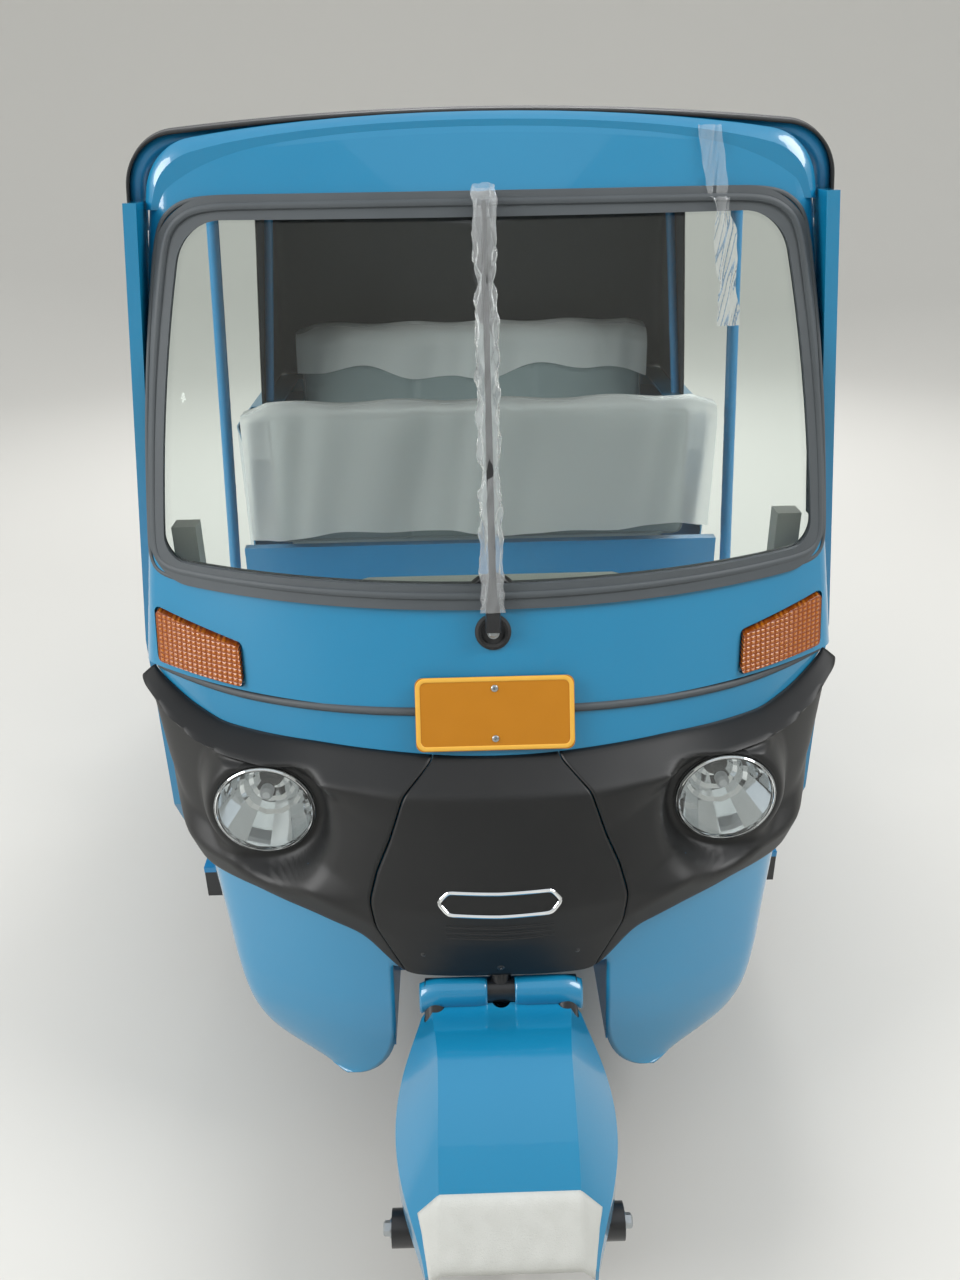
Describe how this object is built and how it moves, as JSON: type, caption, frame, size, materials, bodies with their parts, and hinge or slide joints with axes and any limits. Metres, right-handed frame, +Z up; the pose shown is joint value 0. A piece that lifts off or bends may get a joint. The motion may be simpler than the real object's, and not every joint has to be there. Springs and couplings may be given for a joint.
{
  "type": "auto rickshaw",
  "caption": "Three-wheeled passenger auto rickshaw with a bowed windscreen, plastic headlamp cowl, open sides, rear bench under a canopy, a steered front wheel and a rear engine door.",
  "frame": {"origin": "on the floor, in the middle of the vehicle's length and width", "axes": "+Z up, -Y forwards, +X to the vehicle's left"},
  "size_m": [1.3, 2.635, 1.703],
  "materials": {
    "blue_paint": "gloss enamel",
    "inner_blue_paint": "gloss enamel",
    "black_paint": "satin enamel",
    "screen_glass": "laminated, clear",
    "screen_rubber": "matt",
    "cowl_plastic": "fine moulded grain",
    "dash_plastic": "fine moulded grain",
    "lamp_chrome": "polished reflector",
    "lamp_lens": "clear, moulded",
    "amber_lens": "ribbed, clear amber",
    "red_lens": "ribbed, clear red",
    "plate_yellow": "gloss, blank",
    "floor_rubber": "ribbed mat",
    "seat_cover": "coated cloth",
    "canopy_cloth": "coated canvas",
    "tyre": "ribbed tread",
    "rim_paint": "silver enamel",
    "cast_alloy": "as cast",
    "bar_steel": "gloss enamel",
    "grip_rubber": "ribbed",
    "white_foam": "packing foam"
  },
  "bodies": {
    "body": {"front_upper_shell": "blue_paint", "front_lower_shell": "blue_paint", "wheel_housing": "inner_blue_paint", "head_tube": "black_paint", "windscreen_glass": "screen_glass", "windscreen_rubber": "screen_rubber", "cowl_centre": "cowl_plastic", "cowl_wing_left": "cowl_plastic", "cowl_wing_right": "cowl_plastic", "headlamp_bowls": "lamp_chrome", "headlamp_lenses": "lamp_lens", "indicators": "amber_lens", "front_plate": "plate_yellow", "wiper": "black_paint", "dashboard": "dash_plastic", "side_frame_left": "blue_paint", "side_frame_right": "blue_paint", "floor": "floor_rubber", "chassis": "black_paint", "partition": "blue_paint", "driver_seat_base": "blue_paint", "driver_cushion": "seat_cover", "driver_backrest": "seat_cover", "seat_deck": "inner_blue_paint", "bench_cushion": "seat_cover", "bench_backrest": "seat_cover", "rear_quarter_left": "blue_paint", "rear_quarter_right": "blue_paint", "tail_panel": "blue_paint", "rear_bumper": "cowl_plastic", "tail_lamps": "red_lens", "canopy": "canopy_cloth", "hood_frame": "blue_paint", "engine": "cast_alloy", "silencer": "black_paint", "rear_arms": "black_paint", "rear_dampers": "black_paint", "drive_shafts": "black_paint"},
    "engine_door": {"engine_door": "blue_paint"},
    "steering": {"fork": "black_paint", "steering_column": "bar_steel", "front_mudguard": "blue_paint", "foam_strip": "white_foam", "handlebar": "bar_steel", "grips": "grip_rubber"},
    "front_wheel": {"tyre_front": "tyre", "rim_front": "rim_paint"},
    "rear_wheel_left": {"tyre_rear_left": "tyre", "rim_rear_left": "rim_paint"},
    "rear_wheel_right": {"tyre_rear_right": "tyre", "rim_rear_right": "rim_paint"}
  },
  "joints": [
    {"name": "steering", "type": "hinge", "parent": "body", "child": "steering", "pos_m": [0, -0.968, 0.44], "axis": [0, 0.5, 0.866], "range_deg": [-40, 40]},
    {"name": "front_wheel_spin", "type": "hinge", "parent": "steering", "child": "front_wheel", "pos_m": [0, -1.0345, 0.205], "axis": [1, 0, 0], "continuous": true},
    {"name": "rear_wheel_left_spin", "type": "hinge", "parent": "body", "child": "rear_wheel_left", "pos_m": [0.575, 0.9655, 0.205], "axis": [1, 0, 0], "continuous": true},
    {"name": "rear_wheel_right_spin", "type": "hinge", "parent": "body", "child": "rear_wheel_right", "pos_m": [-0.575, 0.9655, 0.205], "axis": [1, 0, 0], "continuous": true},
    {"name": "engine_door_hinge", "type": "hinge", "parent": "body", "child": "engine_door", "pos_m": [0, 1.2955, 0.865], "axis": [1, 0, 0], "range_deg": [0, 80]}
  ]
}
